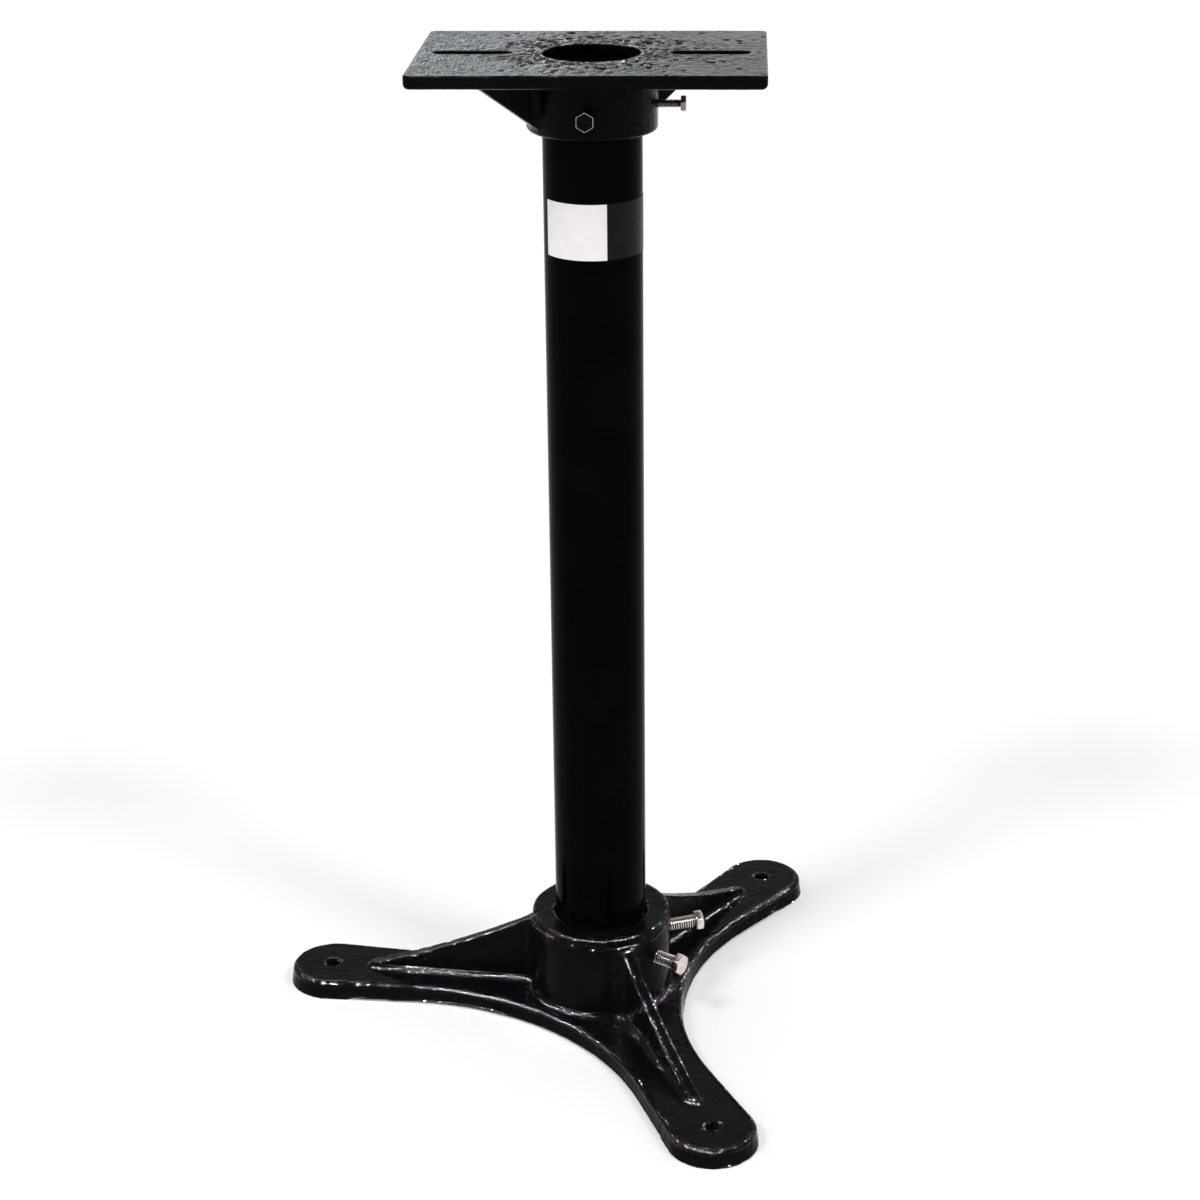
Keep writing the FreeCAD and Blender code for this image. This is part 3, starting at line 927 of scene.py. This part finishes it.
def pale_floor(lift):
    """A floor that keeps the shadow. Its glow, as bright as lift, brings what is seen of it to white."""
    half = 30.0                 # metres
    mesh = bpy.data.meshes.new("floor")
    corners = [(-half, -half, 0), (half, -half, 0), (half, half, 0), (-half, half, 0)]
    mesh.from_pydata(corners, [], [(0, 1, 2, 3)])
    floor = bpy.data.objects.new("floor", mesh)
    scene.collection.objects.link(floor)
    pale = bpy.data.materials.new("pale_floor")
    tree = empty_tree(pale)
    matt = node(tree, "BsdfDiffuse", Color=(0.86, 0.86, 0.86, 1))
    strength = product(tree, white_seen(tree), lift)
    glow = node(tree, "Emission", Color=(1, 1, 1, 1), Strength=strength)
    both = node(tree, "AddShader", _0=matt.outputs[0], _1=glow.outputs[0])
    node(tree, "OutputMaterial", _0=both.outputs[0])
    mesh.materials.append(pale)


def sun(name, azimuth, elevation, strength, width, colour=(1.0, 1.0, 1.0)):
    """A distant lamp, width degrees across, azimuth degrees round to the right from the front."""
    light = bpy.data.lights.new(name, "SUN")
    light.energy = strength
    light.angle = math.radians(width)
    light.color = colour
    lamp = bpy.data.objects.new(name, light)
    around = math.radians(azimuth - 90)
    up = math.radians(elevation)
    towards = Vector((math.cos(around) * math.cos(up), math.sin(around) * math.cos(up), math.sin(up)))
    lamp.rotation_euler = towards.to_track_quat("Z", "Y").to_euler()
    scene.collection.objects.link(lamp)
    return lamp


def camera():
    """The camera, in front and above. Its focal length is in pixels of a 1200 pixel wide image."""
    focal, image_width, sensor_width = 2592.0, 1200.0, 36.0
    yaw, pitch, roll = 0.0576, 0.3913, 0.0107
    position = Vector((0.1137, -1.9369, 1.1712))
    ahead = Vector((
        -math.sin(yaw) * math.cos(pitch),
        math.cos(yaw) * math.cos(pitch),
        -math.sin(pitch),
    ))
    level = Vector((math.cos(yaw), math.sin(yaw), 0))
    down = ahead.cross(level)
    right = math.cos(roll) * level + math.sin(roll) * down
    below = math.cos(roll) * down - math.sin(roll) * level
    turned = Matrix((right, -below, -ahead)).transposed().to_4x4()
    data = bpy.data.cameras.new("camera")
    data.sensor_width = sensor_width
    data.lens = focal / image_width * sensor_width
    seen = bpy.data.objects.new("camera", data)
    seen.matrix_world = Matrix.Translation(position) @ turned
    scene.collection.objects.link(seen)
    scene.camera = seen


camera()
surround(ambient=0.7)
pale_floor(lift=0.14)
sun("soft_left", azimuth=-45, elevation=50, strength=0.85, width=12)
sun("soft_right", azimuth=55, elevation=50, strength=0.7, width=12)

castings = bpy.data.collections.new("castings")
castings.objects.link(casting(
    "base_cast", "base_casting", "base",
    base_field, base_low, base_high, base_mesh_step, base_lumps, base_finish,
    cast_enamel("base_cast_enamel", ior=1.09, shade=0.0046, dullest=0.07,
                lump_depth=2.8, pit_size=2.6, pit_depth=0.3),
))
castings.objects.link(casting(
    "table_cast", "top_casting", "table",
    table_field, table_low, table_high, table_mesh_step, table_lumps, table_finish,
    cast_enamel("table_cast_enamel", ior=1.12, shade=0.0012, dullest=0.14,
                lump_depth=1.3, pit_size=2.4, pit_depth=1.1),
))
column()
label()

plated = bolt_metal(
    "zinc_plate", bright=(0.82, 0.75, 0.74), dull=(0.46, 0.38, 0.37), roughest=0.28,
)
tarnished = bolt_metal(
    "tarnished_zinc", bright=(0.3, 0.24, 0.23), dull=(0.17, 0.125, 0.12), roughest=0.34,
)
blackened = bolt_metal(
    "black_oxide", bright=(0.006, 0.006, 0.007), dull=(0.002, 0.002, 0.0022), roughest=0.3,
)
set_bolts = bpy.data.collections.new("set_bolts")
for bolt, made_of, rim_made_of, slot_name in (
    ("base_bolt_front", plated, plated, "plated_bolt"),
    ("base_bolt_rear", plated, plated, "plated_bolt"),
    ("top_bolt_front", blackened, plated, "black_bolt"),
    ("top_bolt_side", tarnished, tarnished, "plated_bolt"),
):
    set_bolts.objects.link(set_bolt(bolt, made_of, rim_made_of))

# Lamps that only the castings or the bolts mirror: for the glints on fillets, arrises and threads,
# and a low one behind for the paler left half of the table.
white, sky = (1.0, 1.0, 1.0), (0.8, 0.93, 1.0)
for receivers, name, azimuth, elevation, strength, width, colour in (
    (castings, "glint_left", -42, 48, 150.0, 4, white),
    (castings, "glint_right", 55, 48, 130.0, 4, white),
    (castings, "glint_far_left", -92, 44, 70.0, 4, white),
    (castings, "glint_far_right", 135, 42, 40.0, 4, white),
    (castings, "sheen_behind", -166, 11, 0.19, 16, sky),
    (set_bolts, "bolt_glint_left", -36, 52, 1.6, 12, white),
    (set_bolts, "bolt_glint_right", 51, 48, 0.5, 12, white),
):
    lamp = sun(name, azimuth, elevation, strength, width, colour)
    lamp.visible_diffuse = False
    lamp.light_linking.receiver_collection = receivers

scene.view_settings.view_transform = "Standard"
